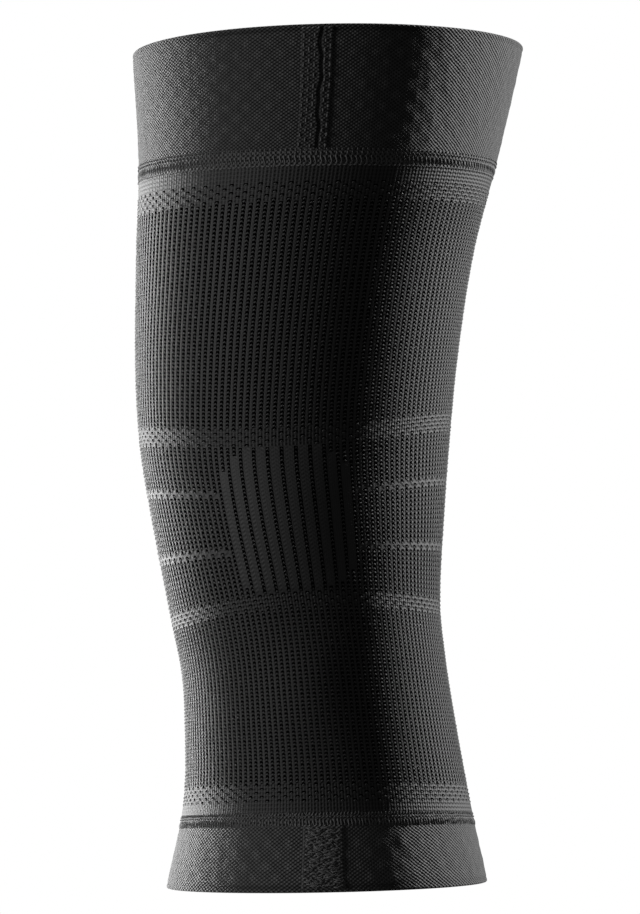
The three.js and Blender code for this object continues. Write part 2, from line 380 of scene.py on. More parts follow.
# fibres and slow changes of shade, shared by all the cloths
def clothShade(tree, look, place):
    patches = addNode(tree, "ShaderNodeTexNoise", Vector=place, Scale=look["patchSize"],
                      Detail=grain["patchDetail"])
    fibres = addNode(tree, "ShaderNodeTexNoise", Vector=place, Scale=look["fibreSize"],
                     Detail=grain["fibreDetail"])
    share = calc(tree, "MULTIPLY_ADD", fibres.outputs[0], grain["fibreShare"],
                 calc(tree, "MULTIPLY", patches.outputs[0], grain["patchShare"]))
    return share, fibres.outputs[0]


def makeKnitMaterial():
    look = knitLook
    material, tree, shader = newMaterial("black_eyelet_knit", yarnLook)
    place = addNode(tree, "ShaderNodeTexCoord").outputs["Object"]
    stitches = addNode(tree, "ShaderNodeUVMap", {"uv_map": "stitches"}).outputs[0]
    parts = addNode(tree, "ShaderNodeSeparateXYZ", Vector=stitches)
    wale = calc(tree, "MULTIPLY", parts.outputs[0], float(knit["wales"]))
    across = calc(tree, "ABSOLUTE", calc(tree, "SUBTRACT", calc(tree, "FRACT", wale), 0.5))
    along = calc(tree, "MULTIPLY_ADD", across, look["slant"], parts.outputs[1])
    loops = calc(tree, "SINE", calc(tree, "MULTIPLY", along, 2 * math.pi))
    share, fibres = clothShade(tree, look, place)
    streaks = calc(tree, "COSINE", calc(tree, "MULTIPLY", wale, 6 * math.pi))
    share = calc(tree, "MULTIPLY_ADD", streaks, look["streaks"], share)
    colour = mixColours(tree, share, look["dark"], look["light"])
    # closed stitches: two fine columns to a wale, with a pinhole between them at each course, painted
    # near black as its shade
    dotted = addNode(tree, "ShaderNodeAttribute", {"attribute_name": "dotted"}).outputs["Fac"]
    fineAcross = calc(tree, "COSINE", calc(tree, "MULTIPLY", wale, 4 * math.pi))
    fineDown = calc(tree, "COSINE", calc(tree, "MULTIPLY", parts.outputs[1], 2 * math.pi))
    stitched = calc(tree, "MULTIPLY_ADD", fineAcross, look["fineAcross"],
                    calc(tree, "MULTIPLY", fineDown, look["fineDown"]))
    pinhole = mapRange(tree, stitched, look["pinholeFrom"], look["pinholeFull"])
    pinhole = calc(tree, "MULTIPLY", pinhole, dotted)
    colour = mixColours(tree, pinhole, colour, look["dot"])
    tree.links.new(colour, shader.inputs["Base Color"])
    stitchBump = addNode(tree, "ShaderNodeBump", Height=loops, Distance=look["stitchBump"])
    dotBump = addNode(tree, "ShaderNodeBump", Height=calc(tree, "MULTIPLY", stitched, dotted),
                      Distance=look["dotBump"], Normal=stitchBump.outputs[0])
    bump = addNode(tree, "ShaderNodeBump", Height=fibres, Distance=look["fibreBump"],
                   Normal=dotBump.outputs[0])
    tree.links.new(bump.outputs[0], shader.inputs["Normal"])
    return material


# colours of the painted shade in the eyelets
eyeletShadeLook = {"dark": grey(0.0002), "light": grey(0.002), "fibreSize": 1800.0}


# what shows in the eyelets: painted shade, near black, on their floors and walls
def makeEyeletShadeMaterial():
    material, tree, shader = newMaterial(
        "eyelet_painted_shade", {"Roughness": 1.0, "Specular IOR Level": 0.0})
    place = addNode(tree, "ShaderNodeTexCoord").outputs["Object"]
    fibres = addNode(tree, "ShaderNodeTexNoise", Vector=place, Scale=eyeletShadeLook["fibreSize"],
                     Detail=grain["fibreDetail"])
    colour = mixColours(tree, fibres.outputs[0], eyeletShadeLook["dark"], eyeletShadeLook["light"])
    tree.links.new(colour, shader.inputs["Base Color"])
    return material


def makeYarnMaterial(name, dark, light, fibreBump):
    material, tree, shader = newMaterial(name, yarnLook)
    place = addNode(tree, "ShaderNodeTexCoord").outputs["Object"]
    share, fibres = clothShade(tree, knitLook, place)
    tree.links.new(mixColours(tree, share, dark, light), shader.inputs["Base Color"])
    bump = addNode(tree, "ShaderNodeBump", Height=fibres, Distance=fibreBump)
    tree.links.new(bump.outputs[0], shader.inputs["Normal"])
    return material


bandLook = {
    "roughness": 0.7,
    "dark": 0.02,
    "light": 0.07,
    "patchSize": 260,
    "fibreSize": 2200,
    "stitchBump": 0.00025,
    "fibreBump": 0.00005,
    "wobbleSize": 300.0,
    "wobble": 1.2,  # how far the columns wander, in columns
    "unevenSize": 700.0,
    "uneven": 0.9,
    "pinholeFrom": 0.0,
    "pinholeFull": 0.18,
    # painted light and shade that follow the relief: raised cloth lighter with its pinholes shut, sunk
    # cloth darker with them open
    "fullness": -0.25,  # where the cloth is raised the pinholes close
    "lift": 0.5,  # and it is lighter
}


# fine knit: columns of stitches with a pinhole between them at each drop, staggered from
# column to column. pitch and drop are in mm, and hole is the colour of the painted shade in the
# pinholes.
def makeBandMaterial(name, girth, pitch, drop, shade, hole, sheen):
    look = bandLook
    surface = dict(yarnLook, **{"Roughness": look["roughness"], "Sheen Weight": sheen})
    material, tree, shader = newMaterial(name, surface)
    place = addNode(tree, "ShaderNodeTexCoord").outputs["Object"]
    stitches = addNode(tree, "ShaderNodeUVMap", {"uv_map": "stitches"}).outputs[0]
    parts = addNode(tree, "ShaderNodeSeparateXYZ", Vector=stitches)
    wobble = addNode(tree, "ShaderNodeTexNoise", Vector=place, Scale=look["wobbleSize"], Detail=1.0)
    columns = round(girth / pitch / 2) * 2  # even, so that they meet where the cloth closes
    around = calc(tree, "MULTIPLY", parts.outputs[0], float(columns))
    around = calc(tree, "MULTIPLY_ADD", wobble.outputs[0], look["wobble"], around)
    along = calc(tree, "DIVIDE", parts.outputs[1], drop)
    columnWave = calc(tree, "COSINE", calc(tree, "MULTIPLY", around, math.pi))
    dropWave = calc(tree, "COSINE", calc(tree, "MULTIPLY", along, 2 * math.pi))
    uneven = addNode(tree, "ShaderNodeTexNoise", Vector=place, Scale=look["unevenSize"], Detail=2.0)
    uneven = calc(tree, "MULTIPLY", calc(tree, "SUBTRACT", uneven.outputs[0], 0.5), look["uneven"])
    weave = calc(tree, "MULTIPLY_ADD", columnWave, dropWave, uneven)
    # the raised mark carries the relief, and with it painted light on raised cloth and painted shade
    # where it is sunk
    raised = addNode(tree, "ShaderNodeAttribute", {"attribute_name": "raised"}).outputs["Fac"]
    opened = calc(tree, "MULTIPLY_ADD", raised, look["fullness"], weave)
    pinhole = mapRange(tree, opened, look["pinholeFrom"], look["pinholeFull"])
    share, fibres = clothShade(tree, look, place)
    share = calc(tree, "MULTIPLY_ADD", raised, look["lift"], share)
    colour = mixColours(tree, share, grey(look["dark"] * shade), grey(look["light"] * shade))
    # painted shade in the pinholes
    colour = mixColours(tree, pinhole, colour, grey(hole))
    tree.links.new(colour, shader.inputs["Base Color"])
    stitchBump = addNode(tree, "ShaderNodeBump", {"invert": True}, Height=weave,
                         Distance=look["stitchBump"])
    bump = addNode(tree, "ShaderNodeBump", Height=fibres, Distance=look["fibreBump"],
                   Normal=stitchBump.outputs[0])
    tree.links.new(bump.outputs[0], shader.inputs["Normal"])
    return material


# ---- the eyelet knit
knit = {
    "wales": 144,
    "courses": 170,
    "crown": 1.75,  # mm out from the inside face
    "ribEdge": 1.66,
    "floor": 0.3,
    "closed": 1.62,  # where there are no eyelets
    "wideRise": 0.3,
    "edgeAt": 0.29,  # of a wale from the middle of an eyelet column
    "rowStep": 3,  # courses, where the columns run straight down
    "innerRows": 14,
    "lip": 0.3,  # courses from a row's start to its full depth
    "bridge": 0.62,  # and to where the next row takes over
    "ribEndHalf": 0.12,
    "ribRamp": 1.5,  # courses over which a wide rib rises at its ends
    "closedRelief": 0.35,  # how much of the columns' relief closed stitches keep
    "closedMargin": 0.2,
    "seated": (2, 168.45),  # courses beyond which the knit lies under the seams
    # rows at each end: the place along the cloth and the two courses that it lies in
    "firstRows": [(0, 0, 0), (1.9, 0, 0), (2.1, 0, 0), (4, 4, 4)],
    "lastRows": [(167.5, 167, 167), (168.4, 168, 168), (168.5, 169, 169), (170, 169, 169)],
}
columnTurn = 360 / knit["wales"]
courseHeight = (thighJoin - calfJoin) / knit["courses"]

zones = [  # courses counted down from the thigh seam
    ("plain", 0, 6), ("staggered", 6, 11), ("open", 11, 69), ("staggered", 69, 74),
    ("open", 74, 111), ("staggered", 111, 115), ("open", 115, 161), ("staggered", 161, 166),
    ("plain", 166, 170),
]
sideBands = (85, 86, 99, 100)
wideRibs = [
    (80, 109), (76, 111), (74, 111), (74, 111), (73, 111),
    (73, 111), (73, 111), (74, 110), (76, 109), (79, 106),
]
panelHalf = len(wideRibs)  # wales from the front to the panel's edge


# true where a stitch leaves an eyelet; wale 0 is at the front
def isOpen(wale, course):
    wale, course = np.broadcast_arrays(wale, course)
    staggered = (wale + course) % 2 == 0
    opened = np.zeros(wale.shape, dtype=bool)
    for kind, first, last in zones:
        inside = (course >= first) & (course < last)
        if kind == "open":
            opened |= inside
        elif kind == "staggered":
            opened |= inside & staggered
    beside = np.abs(wale) > panelHalf
    opened &= ~(np.isin(course, sideBands) & beside) | staggered
    for i, (first, last) in enumerate(wideRibs):
        opened &= ~((wale == 2 * i + 1 - panelHalf) & (course >= first) & (course < last))
    return opened


# rows of the knit's outside: close together where eyelets come and go from course to
# course, and further apart where the columns run straight down
def outerRows():
    rows = list(knit["firstRows"])
    lip, ribEndHalf = knit["lip"], knit["ribEndHalf"]
    fine = set(sideBands)
    for kind, first, last in zones:
        if kind == "staggered":
            fine.update(range(first, last))
    ribEnds = {course for rib in wideRibs for course in rib}
    course, end = zones[0][2], zones[-1][1]
    while course < end:
        rows.append((course, course - 1, course))
        if course in fine:
            rows.append((course + lip, course, course))
            rows.append((course + knit["bridge"], course, course + 1))
            course += 1
            continue
        run = course
        while run < end and run not in fine:
            run += 1
        rows.append((course + lip, course, course))
        at = course + 1
        while at < run:
            if at in ribEnds:
                rows += [(at - ribEndHalf, at - 1, at - 1), (at + ribEndHalf, at, at)]
                at += 1
                continue
            nextEnd = min([e for e in ribEnds if e > at] + [run])
            rows.append((at, at - 1, at))
            at += max(1, min(knit["rowStep"], nextEnd - at))
        rows.append((run - lip, run - 1, run - 1))
        course = run
    return rows + [(end, end, end)] + knit["lastRows"]


def makeKnitShell():
    rows = outerRows()
    wales = np.arange(knit["wales"]) - knit["wales"] // 2
    offsets = np.array([0, knit["edgeAt"], 0.5, 1 - knit["edgeAt"]])
    place = (wales[:, None] + offsets).ravel()  # in wales from the front
    kind = np.tile(np.arange(4), len(wales))
    wale = np.repeat(wales, 4)
    along = np.array([r[0] for r in rows], dtype=float)
    first = np.array([r[1] for r in rows])[:, None]
    second = np.array([r[2] for r in rows])[:, None]
    opened = isOpen(wale[None], first) & isOpen(wale[None], second)
    crown = knit["crown"]
    out = np.where(kind == 2, crown, knit["ribEdge"]) * np.ones((len(rows), 1))
    out = np.where(kind == 0, np.where(opened, knit["floor"], knit["closed"]), out)
    for i, (start, end) in enumerate(wideRibs):
        middle = 2 * i + 1 - panelHalf
        near = np.abs(place - middle) < 1 - 0.5 * knit["edgeAt"]
        ramp = (np.clip((along - start) / knit["ribRamp"], 0, 1)
                * np.clip((end - along) / knit["ribRamp"], 0, 1))
        raised = crown + ramp[:, None] * knit["wideRise"]
        out = np.where(near & (ramp[:, None] > 0), np.maximum(out, raised), out)
    out[(along < knit["seated"][0]) | (along > knit["seated"][1])] = bore["seatWall"]
    inner = np.linspace(knit["courses"], 0, knit["innerRows"])
    out = np.vstack([out, np.zeros((len(inner), len(place)))])
    along = np.concatenate([along, inner])
    sunk = np.zeros(out.shape)
    sunk[: len(rows)] = opened & (kind == 0)
    dotted = np.ones(out.shape)
    margin = knit["closedMargin"]
    for zone, start, end in zones:
        if zone == "open":
            dotted[(along > start - margin) & (along < end + margin)] = 0
    flat = (dotted > 0) & (out > knit["closed"])
    out[flat] = knit["closed"] + knit["closedRelief"] * (out[flat] - knit["closed"])
    height = (thighJoin - along * courseHeight)[:, None]
    return wrapCloth("knit_shell", place * columnTurn, height, out, along,
                     {"sunk": sunk, "dotted": dotted}, crease=40)


# the faces that go down into an eyelet take the piece's second material, a near-black painted shade
def paintEyeletShade(shell, material):
    mesh = shell.data
    mesh.materials.append(material)
    sunk = np.empty(len(mesh.vertices))
    mesh.attributes["sunk"].data.foreach_get("value", sunk)
    starts = np.empty(len(mesh.polygons), dtype=np.int32)
    mesh.polygons.foreach_get("loop_start", starts)
    deepest = np.maximum.reduceat(sunk[cornersOf(mesh)], starts)
    mesh.polygons.foreach_set("material_index", (deepest > 0.5).astype(np.int32))


# the loop of yarn that crosses each eyelet column at each course, like a small roof
eyelet = {
    "path": [  # across in wales, down in courses, out in mm
        (-0.29, 1.0, 0.95), (-0.18, 0.71, 1.52), (0, 0.46, 1.7), (0.18, 0.71, 1.52), (0.29, 1.0, 0.95),
    ],
    "taper": [0.8, 1.0, 1.1, 1.0, 0.8],
    "halfThick": 0.28,
    "halfHigh": -0.28,
    "wander": 0.04,
    "sway": 0.4,  # of the wander, sideways
    "thickSpread": 0.06,
    "panelCourses": (76, 109),
    "panelRise": 0.25,  # mm further out between the wide ribs
    "pieces": [("thigh", 0, 46), ("above_knee", 46, 89), ("knee", 89, 134), ("calf", 134, 170)],
}


def makeEyeletYarn(material):
    chance = np.random.RandomState(11)
    wales = np.arange(knit["wales"]) - knit["wales"] // 2
    for name, first, last in eyelet["pieces"]:
        wale, course = np.meshgrid(wales, np.arange(first, last))
        opened = isOpen(wale, course)
        wale, course = wale[opened], course[opened]
        shift = chance.normal(0, eyelet["wander"], (len(wale), 3))
        path = np.array(eyelet["path"])
        turn = (wale[:, None] + path[:, 0] + eyelet["sway"] * shift[:, :1]) * columnTurn
        down = course[:, None] + path[:, 1] + shift[:, 1:2]
        top, bottom = eyelet["panelCourses"]
        inPanel = (np.abs(wale) < panelHalf) & (course >= top) & (course < bottom)
        out = path[:, 2] + shift[:, 2:] + eyelet["panelRise"] * inPanel[:, None]
        paths = np.stack([thighJoin - down * courseHeight, turn, out], axis=-1)
        thick = eyelet["halfThick"] * (1 + chance.normal(0, eyelet["thickSpread"], len(wale)))
        piece = layYarn("eyelet_yarn_" + name, paths, thick, eyelet["halfHigh"],
                        taper=eyelet["taper"])
        finishPiece(piece, material, "knit", "knit_body")


# ---- the elastic bands
band = {
    "columns": 480,
    "rowStep": 0.9,  # mm
    "innerStep": 6,
    "blobAcross": 8.2,  # mm from blob to blob
    "blobDown": 3.4,
    "blobHalf": 1.7,
    "blobRise": 0.12,
    "blobFall": 1.6,  # how steeply a blob falls away
    "creaseRise": 0.05,
    "creaseWaves": 14,
    "creaseRound": (8, 60),  # waves round the sleeve
    "creaseClimb": (0.1, 0.8),
    "hemLine": 1.5,  # mm from the hem, where the folded edge is stitched down
    "hemLineHalf": 0.4,
    "hemDip": 1.5,  # of the blobs' rise
    "hemAngles": [30, 60, 90, 120, 150],
    "hemFade": (1.5, 2),  # mm from the hem to where the blobs start, and until they are full
    "seamFade": (1, 3),
    "seamLap": 0.2,
}


def blobs(around, along):
    row = np.rint(along / band["blobDown"])
    shift = (row % 2) * 0.5
    across = around / band["blobAcross"] - shift
    across = (across - np.rint(across)) * band["blobAcross"]
    down = along - row * band["blobDown"]
    return np.exp(-(across**2 + down**2) / band["blobHalf"] ** 2 * band["blobFall"])


# slow unevenness of the stretched cloth, the same on every run
def creases(turns, along):
    chance = np.random.RandomState(3)
    total = 0
    for _ in range(band["creaseWaves"]):
        waves, climb = chance.randint(*band["creaseRound"]), chance.uniform(*band["creaseClimb"])
        total = total + np.sin(np.radians(turns * waves) + along * climb + chance.uniform(0, 6))
    return total / 5


def makeBand(name, join, hem, seamHeight, girth):
    up = 1 if hem > join else -1
    wall = bore["bandWall"]
    turns = np.arange(band["columns"]) * 360 / band["columns"] - 180
    seat = join + up * (seamHeight / 2 - band["seamLap"])
    shoulder = hem - up * wall / 2
    steps = round(abs(shoulder - seat) / band["rowStep"])
    outer = np.linspace(seat, shoulder, steps + 1)
    hemAngles = np.radians(band["hemAngles"])
    inner = np.linspace(shoulder, join, round(abs(shoulder - join) / band["innerStep"]) + 1)
    height = np.concatenate(
        [[join], outer, shoulder + up * wall / 2 * np.sin(hemAngles), inner])
    out = np.concatenate([
        [bore["seatWall"]], np.full(len(outer), wall),
        wall / 2 + wall / 2 * np.cos(hemAngles), np.zeros(len(inner))])
    out = np.repeat(out[:, None], len(turns), axis=1)
    repeats = round(girth / band["blobAcross"])
    around = turns / 360 * repeats * band["blobAcross"]
    rows = slice(1, 1 + len(outer))
    fromHem, fromSeam = np.abs(hem - outer)[:, None], np.abs(outer - seat)[:, None]
    fade = (np.clip((fromHem - band["hemFade"][0]) / band["hemFade"][1], 0, 1)
            * np.clip((fromSeam - band["seamFade"][0]) / band["seamFade"][1], 0, 1))
    raised = np.zeros(out.shape)
    # in the raised mark the blobs get painted light and the stitched hem line painted shade, besides
    # their relief
    line = np.exp(-((fromHem - band["hemLine"]) / band["hemLineHalf"]) ** 2)
    raised[rows] = blobs(around[None], outer[:, None]) * fade - line * band["hemDip"]
    out += raised * band["blobRise"]
    out[rows] += creases(turns[None], outer[:, None]) * band["creaseRise"] * fade
    return wrapCloth(name, turns, height[:, None], out, height, {"raised": raised})


# ---- the joining seams
# profile: share of the rise, share of half the seam's height
# stitches: count round the sleeve, lowest and highest point in mm from the join, how far
# they swing and lean in degrees, lift in mm above the seam, half thickness
seams = {
    "thigh_join_seam": {
        "join": thighJoin, "height": bore["thighSeamHeight"], "base": 1.0, "rise": 0.85,
        "profile": [
            (0, 1.12), (0.6, 1.1), (0.72, 1.0), (0.7, 0.7), (0.78, 0.4), (0.76, 0.1), (0.72, -0.2),
            (0.8, -0.5), (0.76, -0.75), (0.72, -0.88), (0.84, -0.97), (0.8, -1.05), (0.5, -1.14),
            (0, -1.14),
        ],
        "stitches": [
            (222, -2.2, 0.9, 0.2, -0.4, -0.12, 0.22), (222, 1.1, 1.8, 0.1, 0.2, -0.1, 0.24),
            (222, 2.3, 2.9, 0.1, 0.3, -0.15, 0.22), (222, -2.85, -2.6, 0, 1.0, -0.06, 0.17),
        ],
    },
    "calf_join_seam": {
        "join": calfJoin, "height": bore["calfSeamHeight"], "base": 1.0, "rise": 0.85,
        "profile": [
            (0, 1.1), (0.6, 1.05), (0.72, 0.9), (0.7, 0.6), (0.82, 0.42), (0.82, 0.3), (0.74, 0.14),
            (0.78, -0.2), (0.78, -0.6), (0.72, -0.85), (0.7, -1.0), (0.45, -1.15), (0, -1.15),
        ],
        "stitches": [
            (268, -2.2, 0.3, 0.05, -0.25, -0.12, 0.2), (268, 1.2, 2.3, 0.1, 0.9, -0.15, 0.18),
            (268, 0.62, 0.85, 0, 0.9, -0.02, 0.16),
        ],
    },
}
seamColumns = 288
seamCrease = 35  # degrees
seamThread = {
    "points": 5,
    "turnSpread": 0.1,  # degrees
    "heightSpread": 0.06,  # mm, as are the rest
    "outSpread": 0.03,
    "sink": 0.25,
    "arch": 0.3,
    "flatness": 0.9,
}


def makeSeamRing(name, look):
    turns = np.arange(seamColumns) * 360 / seamColumns - 180
    profile = np.array(look["profile"])
    out = look["base"] + look["rise"] * profile[:, :1] * np.ones((1, seamColumns))
    place = look["join"] + look["height"] / 2 * profile[:, 1]
    return wrapCloth(name, turns, place[:, None], out, place, crease=seamCrease)


def seamStitches(look, count, low, high, swing, lean, lift, seed):
    chance = np.random.RandomState(seed)
    turns = np.arange(count) * 360 / count - 180 + chance.normal(0, seamThread["turnSpread"], count)
    steps = np.linspace(0, 1, seamThread["points"])[None]
    height = look["join"] + low + (high - low) * steps
    height = height + chance.normal(0, seamThread["heightSpread"], (count, 1))
    turn = turns[:, None] + lean * (steps - 0.5) + swing * np.sin(2 * math.pi * steps)
    top = look["base"] + look["rise"] + lift - seamThread["sink"]
    out = top + seamThread["arch"] * np.sin(math.pi * steps)
    out = out + chance.normal(0, seamThread["outSpread"], (count, 1))
    return np.stack([height, turn, out], axis=-1)


def makeSeam(name, look, cloth, thread):
    finishPiece(makeSeamRing(name + "_ring", look), cloth, "thread", name)
    rows = look["stitches"]
    paths = [seamStitches(look, *row[:-1], seed) for seed, row in enumerate(rows)]
    thick = np.concatenate([np.full(len(p), row[-1]) for p, row in zip(paths, rows)])
    stitches = layYarn(name + "_stitches", np.concatenate(paths), thick,
                       thick * seamThread["flatness"], sides=4)
    finishPiece(stitches, thread, "thread", name)


# ---- the closures, sewn on the bands from the seam nearly to the hem
closures = {
    "seamLap": 0.4,
    "hemGap": 0.9,
    "sink": 0.2,  # mm that a plate reaches down into the band
    "rimWidth": 0.985,  # the rim is a little narrower on top, and lower
    "rimRise": 0.45,
}


# a thin plate bent round the sleeve. dents gives the relief of its top, and the optional last function
# a value that paints shade on the cloth, darkening it, where it is below 0.
def makePlate(name, turnRange, heightRange, look, dents, grooveShade=None):
    deselectAll()
    bpy.ops.mesh.primitive_cube_add(size=1)
    piece = bpy.context.object
    piece.name = piece.data.name = name
    bpy.ops.object.mode_set(mode="EDIT")
    for axis, count in ((0, look["columns"]), (1, look["rows"])):
        for i in range(1, count):
            point, normal = [0, 0, 0], [0, 0, 0]
            point[axis], normal[axis] = i / count - 0.5, 1
            bpy.ops.mesh.select_all(action="SELECT")
            bpy.ops.mesh.bisect(plane_co=point, plane_no=normal)
    bpy.ops.object.mode_set(mode="OBJECT")
    mesh = piece.data
    flat = placesOf(mesh)
    rim = np.maximum(np.abs(flat[:, 0]), np.abs(flat[:, 1])) > 0.499  # its edges lie at 0.5
    onTop = flat[:, 2] > 0
    inwards = np.where(onTop & rim, closures["rimWidth"], 1)
    turn = sum(turnRange) / 2 + flat[:, 0] * (turnRange[1] - turnRange[0]) * inwards
    height = sum(heightRange) / 2 + flat[:, 1] * (heightRange[1] - heightRange[0])
    base = bore["bandWall"] - closures["sink"]
    full = look["thick"] + closures["sink"]
    top = base + full * np.where(rim, closures["rimRise"], 1.0) + dents(turn, height)
    out = np.where(onTop, top, base)
    # painted shade goes to the cloth through its raised mark
    if grooveShade is not None:
        addMark(mesh, "raised", grooveShade(turn, height))
    mesh.vertices.foreach_set("co", wornPoint(height, turn, out).ravel())
    layPattern(mesh, turn / 360 + 0.5, height)
    mesh.update()
    closeAndSmooth(piece)
    return piece


def turnsFor(width, height):  # degrees at the front that a width in mm covers
    return math.degrees(width / (float(sectionAt(np.array(height))[0]) / 2 + bore["bandWall"]))


thighClosure = {
    "width": 10.4,
    "thick": 0.45,
    "grooveAside": 1.6,
    "grooveHalf": 0.5,
    "grooveDepth": 0.75,
    "grooveWander": 0.35,
    "wanderWaves": [(1, 0.31, 0), (0.6, 0.83, 1)],  # share, rate and start of each wave
    "lipRise": 0.15,
    "ripple": 0.07,
    # painted shade in the groove: its strength, and how it fades along the strip
    "grooveShadeStrength": -6,
    "grooveShadeFade": (0.6, 0.4, 0.21, -26),  # mean, swing, rate and start
    "columns": 36,
    "rows": 44,
    "dotColumns": [-4.4, -2.6, -0.7, 2.9, 4.5],  # mm from the middle
    "dotPitch": 3.2,
    "dotMargins": (1.6, 1.2),  # mm from the seam and from the hem
    "dotSpread": 0.15,
    "turnSpread": 0.08,
    "dotTall": (0.45, 0.7),
    "dotHalf": (0.27, 0.24),
    "dotPath": [  # share of its height, degrees aside, mm out
        (-1, -0.1, -0.25), (-0.5, 0, 0.12), (0, 0.05, 0.22), (0.5, 0, 0.12), (1, 0.1, -0.25),
    ],
}

calfClosure = {
    "width": 14.6,
    "thick": 0.45,
    "ripples": (0.07, 0.06),
    "columns": 24,
    "rows": 30,
    "threads": 150,
    "threadHalf": (0.2, 0.2),
    "threadPoints": 5,
    "threadMargin": 0.8,
    "threadReach": (0.1, 0.24),  # of half the patch
    "threadSpread": 0.94,
    "threadSlant": 0.35,
    "threadWave": 0.2,
    "threadArch": 0.2,
}


def makeThighClosure(material, yarn):
    look = thighClosure
    low = thighJoin + bore["thighSeamHeight"] / 2 - closures["seamLap"]
    high = upper - closures["hemGap"]
    middle = (low + high) / 2
    half = turnsFor(look["width"], middle) / 2
    groove = turnsFor(look["grooveAside"], middle)
    grooveHalf = turnsFor(look["grooveHalf"], middle)

    def fromGroove(turn, height):
        wander = sum(share * np.sin(height * rate + start)
                     for share, rate, start in look["wanderWaves"])
        return turn - groove - look["grooveWander"] * wander

    # painted shade along the groove: there the cloth's pinholes open to black and it darkens
    def grooveShade(turn, height):
        mean, swing, rate, start = look["grooveShadeFade"]
        fading = mean + swing * np.sin(height * rate + start)
        return look["grooveShadeStrength"] * fading * np.exp(-(fromGroove(turn, height) / grooveHalf) ** 2)

    def dents(turn, height):
        aside = fromGroove(turn, height)
        dip = np.exp(-(aside / grooveHalf) ** 2) * look["grooveDepth"]
        lips = np.exp(-((np.abs(aside) - 2 * grooveHalf) / grooveHalf) ** 2) * look["lipRise"]
        return lips - dip + look["ripple"] * np.sin(height * 1.9) * np.cos(turn * 3.1)

    plate = makePlate("thigh_closure_strip", (-half, half), (low, high), look, dents, grooveShade)
    finishPiece(plate, material, "thread", "thigh_closure_seam")
    chance = np.random.RandomState(5)
    paths = []
    lift = bore["bandWall"] + look["thick"]
    fromSeam, fromHem = look["dotMargins"]
    count = int((high - low - 1) / look["dotPitch"])
    for i, aside in enumerate(look["dotColumns"]):
        for j in range(count):  # every other column is half a pitch further on
            at = low + fromSeam + (j + 0.5 * (i % 2)) * look["dotPitch"]
            at += chance.normal(0, look["dotSpread"])
            if at > high - fromHem:
                continue
            turn = turnsFor(aside, at) + chance.normal(0, look["turnSpread"])
            tall = chance.uniform(*look["dotTall"])
            paths.append([(at + share * tall, turn + slant, lift + rise)
                          for share, slant, rise in look["dotPath"]])
    stitches = layYarn("thigh_closure_stitches", np.array(paths), *look["dotHalf"], sides=5)
    finishPiece(stitches, yarn, "thread", "thigh_closure_seam")


def makeCalfClosure(material, yarn):
    look = calfClosure
    high = calfJoin - bore["calfSeamHeight"] / 2 + closures["seamLap"]
    low = closures["hemGap"] - lower
    half = turnsFor(look["width"], (low + high) / 2) / 2

    def dents(turn, height):
        return (look["ripples"][0] * np.sin(height * 4.3 + turn)
                + look["ripples"][1] * np.sin(turn * 2.3))

    plate = makePlate("calf_closure_patch", (-half, half), (low, high), look, dents)
    finishPiece(plate, material, "thread", "calf_closure_seam")
    chance = np.random.RandomState(8)
    paths = []
    steps = np.linspace(-1, 1, look["threadPoints"])
    spread, slant, margin = look["threadSpread"], look["threadSlant"], look["threadMargin"]
    lift = bore["bandWall"] + look["thick"] + look["threadArch"] * np.cos(1.8 * steps)
    for i in range(look["threads"]):
        at = low + margin + (i + 0.5) / look["threads"] * (high - low - 2 * margin)
        reach = chance.uniform(*look["threadReach"]) * half
        turn = chance.uniform(-spread, spread) * (half - reach) + reach * steps
        rise = at + chance.uniform(-slant, slant) * steps
        rise = rise + look["threadWave"] * np.sin(4 * steps + i)
        paths.append(np.stack([rise, turn, lift], axis=-1))
    stitches = layYarn("calf_closure_stitches", np.array(paths), *look["threadHalf"], sides=4)
    finishPiece(stitches, yarn, "thread", "calf_closure_seam")


# ---- everything
knitMaterial = makeKnitMaterial()
# the eyelets' loops are the knit's black yarn, painted about twice as light for the light they catch
yarnMaterial = makeYarnMaterial("black_eyelet_yarn_painted_light", grey(0.03), grey(0.06), 0.00004)
threadMaterial = makeYarnMaterial("black_sewing_thread", grey(0.06), grey(0.12), 0.00003)

knitShell = makeKnitShell()
finishPiece(knitShell, knitMaterial, "knit", "knit_body")
# the eyelets' floors and walls get painted shade
paintEyeletShade(knitShell, makeEyeletShadeMaterial())
makeEyeletYarn(yarnMaterial)

# hole: the colour of the painted shade in each cloth's pinholes
cloths = {
    "thigh": {"girth": 420, "pitch": 0.9, "drop": 1.15, "shade": 0.85, "hole": 0.0006, "sheen": 0.25},
    "calf": {"girth": 345, "pitch": 0.9, "drop": 1.15, "shade": 1.15, "hole": 0.012, "sheen": 0.25},
    "seam": {"girth": 400, "pitch": 0.9, "drop": 1.5, "shade": 1.25, "hole": 0.002, "sheen": 0.3},
}
thighElastic = makeBandMaterial("thigh_elastic_knit", **cloths["thigh"])
calfElastic = makeBandMaterial("calf_elastic_knit", **cloths["calf"])
seamCloth = makeBandMaterial("black_seam_cloth", **cloths["seam"])

thighBand = makeBand("thigh_band_cloth", thighJoin, upper, bore["thighSeamHeight"],
                     cloths["thigh"]["girth"])
finishPiece(thighBand, thighElastic, "elastic", "thigh_band")
calfBand = makeBand("calf_band_cloth", calfJoin, -lower, bore["calfSeamHeight"],
                    cloths["calf"]["girth"])
finishPiece(calfBand, calfElastic, "elastic", "calf_band")

for name, look in seams.items():
    makeSeam(name, look, seamCloth, threadMaterial)
makeThighClosure(thighElastic, threadMaterial)
makeCalfClosure(calfElastic, threadMaterial)

